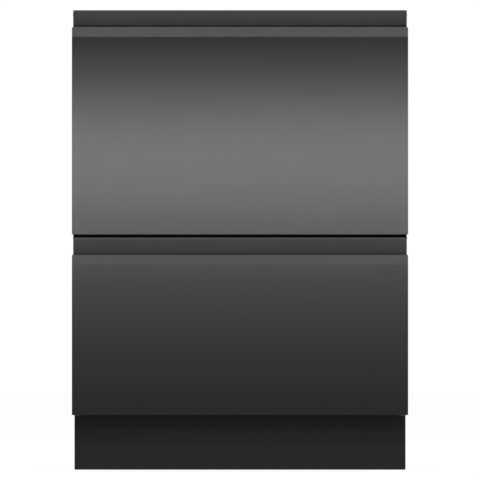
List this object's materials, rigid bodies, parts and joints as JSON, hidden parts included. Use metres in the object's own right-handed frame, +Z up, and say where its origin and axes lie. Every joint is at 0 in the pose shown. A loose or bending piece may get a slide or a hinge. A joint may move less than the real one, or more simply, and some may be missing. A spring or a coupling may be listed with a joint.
{
  "type": "dishwasher drawer",
  "caption": "Built-in double drawer dishwasher with two tubs on telescopic rails, dark brushed steel fronts and recessed handle strips.",
  "frame": {"origin": "on the floor under the middle of the bounding box", "axes": "+Z up, the drawer fronts face -Y, +X to the right as seen from the front"},
  "size_m": [0.599, 0.573, 0.82],
  "materials": {
    "chassis_steel": "galvanised",
    "tray_steel": "satin",
    "black_metal": "satin",
    "kick_steel": "brushed",
    "front_steel": "brushed",
    "strip_steel": "brushed",
    "seal_rubber": "matte",
    "rail_steel": "zinc plated",
    "link_steel": "satin",
    "screw_steel": "polished",
    "dark_plastic": "matte",
    "white_plastic": "matte",
    "liner_plastic": "matte",
    "control_panel": "gloss",
    "tub_plastic": "satin",
    "rack_wire": "nylon coated",
    "tine_wire": "nylon coated",
    "basket_plastic": "matte",
    "arm_plastic": "satin",
    "filter_steel": "perforated",
    "dispenser_plastic": "satin",
    "cap_plastic": "satin",
    "lid_plastic": "satin"
  },
  "bodies": {
    "chassis": {"left_side_panel": "chassis_steel", "right_side_panel": "chassis_steel", "top_panel": "chassis_steel", "back_panel": "chassis_steel", "base_tray": "tray_steel", "cross_braces": "black_metal", "kick_strip": "kick_steel", "edge_seals": "seal_rubber", "outer_rails": "rail_steel", "lid_actuators": "dark_plastic", "inlet_valve": "white_plastic", "drain_outlet": "dark_plastic", "cable_gland": "dark_plastic", "chassis_screws": "screw_steel"},
    "front_left_foot": {"front_left_foot": "dark_plastic"},
    "front_right_foot": {"front_right_foot": "dark_plastic"},
    "rear_left_foot": {"rear_left_foot": "dark_plastic"},
    "rear_right_foot": {"rear_right_foot": "dark_plastic"},
    "upper_drawer": {"upper_front_panel": "front_steel", "upper_handle_strip": "strip_steel", "upper_front_liner": "liner_plastic", "upper_controls": "control_panel", "upper_tub": "tub_plastic", "upper_rack": "rack_wire", "upper_filter_plate": "filter_steel", "upper_pump_motor": "dark_plastic", "upper_dispenser": "dispenser_plastic", "upper_inner_rails": "rail_steel"},
    "upper_rail_members": {"upper_mid_rails": "rail_steel"},
    "upper_lid_body": {"upper_lid": "lid_plastic", "upper_lid_seal": "seal_rubber"},
    "upper_link_pair": {"upper_lid_links": "link_steel"},
    "upper_folding_tines": {"upper_tine_row": "tine_wire"},
    "upper_left_shelf": {"upper_left_cup_rack": "tine_wire"},
    "upper_right_shelf": {"upper_right_cup_rack": "tine_wire"},
    "upper_arm": {"upper_spray_arm": "arm_plastic"},
    "upper_pump_rotor": {"upper_impeller": "white_plastic"},
    "upper_flap": {"upper_dispenser_lid": "dispenser_plastic"},
    "upper_cap": {"upper_rinse_cap": "cap_plastic"},
    "lower_drawer": {"lower_front_panel": "front_steel", "lower_handle_strip": "strip_steel", "lower_front_liner": "liner_plastic", "lower_controls": "control_panel", "lower_tub": "tub_plastic", "lower_rack": "rack_wire", "lower_filter_plate": "filter_steel", "lower_pump_motor": "dark_plastic", "lower_dispenser": "dispenser_plastic", "lower_inner_rails": "rail_steel", "lower_cutlery_basket": "basket_plastic"},
    "lower_rail_members": {"lower_mid_rails": "rail_steel"},
    "lower_lid_body": {"lower_lid": "lid_plastic", "lower_lid_seal": "seal_rubber"},
    "lower_link_pair": {"lower_lid_links": "link_steel"},
    "lower_folding_tines": {"lower_tine_row": "tine_wire"},
    "lower_left_shelf": {"lower_left_cup_rack": "tine_wire"},
    "lower_arm": {"lower_spray_arm": "arm_plastic"},
    "lower_pump_rotor": {"lower_impeller": "white_plastic"},
    "lower_flap": {"lower_dispenser_lid": "dispenser_plastic"},
    "lower_cap": {"lower_rinse_cap": "cap_plastic"}
  },
  "joints": [
    {"name": "front_left_foot_screw", "type": "slide", "parent": "chassis", "child": "front_left_foot", "axis": [0, 0, -1], "range_m": [0, 0.06]},
    {"name": "front_right_foot_screw", "type": "slide", "parent": "chassis", "child": "front_right_foot", "axis": [0, 0, -1], "range_m": [0, 0.06]},
    {"name": "rear_left_foot_screw", "type": "slide", "parent": "chassis", "child": "rear_left_foot", "axis": [0, 0, -1], "range_m": [0, 0.06]},
    {"name": "rear_right_foot_screw", "type": "slide", "parent": "chassis", "child": "rear_right_foot", "axis": [0, 0, -1], "range_m": [0, 0.06]},
    {"name": "upper_drawer_slide", "type": "slide", "parent": "chassis", "child": "upper_drawer", "axis": [0, -1, 0], "range_m": [0, 0.49]},
    {"name": "upper_rail_members_slide", "type": "slide", "parent": "chassis", "child": "upper_rail_members", "axis": [0, -1, 0], "range_m": [0, 0.245]},
    {"name": "upper_lid_lower", "type": "slide", "parent": "chassis", "child": "upper_lid_body", "axis": [0, 0, -1], "range_m": [0, 0.01]},
    {"name": "upper_lid_links_slide", "type": "slide", "parent": "chassis", "child": "upper_link_pair", "axis": [0, -1, 0], "range_m": [0, 0.01]},
    {"name": "upper_tines_fold", "type": "hinge", "parent": "upper_drawer", "child": "upper_folding_tines", "pos_m": [0, 0.01215, 0.554], "axis": [-1, 0, 0], "range_deg": [0, 85]},
    {"name": "upper_left_shelf_fold", "type": "hinge", "parent": "upper_drawer", "child": "upper_left_shelf", "pos_m": [-0.259, 0.01215, 0.661], "axis": [0, -1, 0], "range_deg": [0, 88]},
    {"name": "upper_right_shelf_fold", "type": "hinge", "parent": "upper_drawer", "child": "upper_right_shelf", "pos_m": [0.259, 0.01215, 0.661], "axis": [0, 1, 0], "range_deg": [0, 88]},
    {"name": "upper_arm_spin", "type": "hinge", "parent": "upper_drawer", "child": "upper_arm", "pos_m": [0, 0.01215, 0.513], "axis": [0, 0, 1], "continuous": true},
    {"name": "upper_pump_spin", "type": "hinge", "parent": "upper_drawer", "child": "upper_pump_rotor", "pos_m": [0, 0.01215, 0.478], "axis": [0, 0, 1], "continuous": true},
    {"name": "upper_flap_open", "type": "hinge", "parent": "upper_drawer", "child": "upper_flap", "pos_m": [-0.044, -0.218, 0.7077], "axis": [-1, 0, 0], "range_deg": [0, 95]},
    {"name": "upper_cap_turn", "type": "hinge", "parent": "upper_drawer", "child": "upper_cap", "pos_m": [0.048, -0.218, 0.7317], "axis": [0, 1, 0], "range_deg": [0, 90]},
    {"name": "lower_drawer_slide", "type": "slide", "parent": "chassis", "child": "lower_drawer", "axis": [0, -1, 0], "range_m": [0, 0.49]},
    {"name": "lower_rail_members_slide", "type": "slide", "parent": "chassis", "child": "lower_rail_members", "axis": [0, -1, 0], "range_m": [0, 0.245]},
    {"name": "lower_lid_lower", "type": "slide", "parent": "chassis", "child": "lower_lid_body", "axis": [0, 0, -1], "range_m": [0, 0.01]},
    {"name": "lower_lid_links_slide", "type": "slide", "parent": "chassis", "child": "lower_link_pair", "axis": [0, -1, 0], "range_m": [0, 0.01]},
    {"name": "lower_tines_fold", "type": "hinge", "parent": "lower_drawer", "child": "lower_folding_tines", "pos_m": [0, 0.01215, 0.2325], "axis": [-1, 0, 0], "range_deg": [0, 85]},
    {"name": "lower_left_shelf_fold", "type": "hinge", "parent": "lower_drawer", "child": "lower_left_shelf", "pos_m": [-0.259, 0.01215, 0.2875], "axis": [0, -1, 0], "range_deg": [0, 88]},
    {"name": "lower_arm_spin", "type": "hinge", "parent": "lower_drawer", "child": "lower_arm", "pos_m": [0, 0.01215, 0.1915], "axis": [0, 0, 1], "continuous": true},
    {"name": "lower_pump_spin", "type": "hinge", "parent": "lower_drawer", "child": "lower_pump_rotor", "pos_m": [0, 0.01215, 0.1565], "axis": [0, 0, 1], "continuous": true},
    {"name": "lower_flap_open", "type": "hinge", "parent": "lower_drawer", "child": "lower_flap", "pos_m": [-0.044, -0.218, 0.3022], "axis": [-1, 0, 0], "range_deg": [0, 95]},
    {"name": "lower_cap_turn", "type": "hinge", "parent": "lower_drawer", "child": "lower_cap", "pos_m": [0.048, -0.218, 0.3262], "axis": [0, 1, 0], "range_deg": [0, 90]}
  ],
  "couplings": [
    {"joint": "upper_rail_members_slide", "follows": "upper_drawer_slide", "ratio": 0.5},
    {"joint": "upper_lid_links_slide", "follows": "upper_lid_lower", "ratio": 1},
    {"joint": "lower_rail_members_slide", "follows": "lower_drawer_slide", "ratio": 0.5},
    {"joint": "lower_lid_links_slide", "follows": "lower_lid_lower", "ratio": 1}
  ]
}
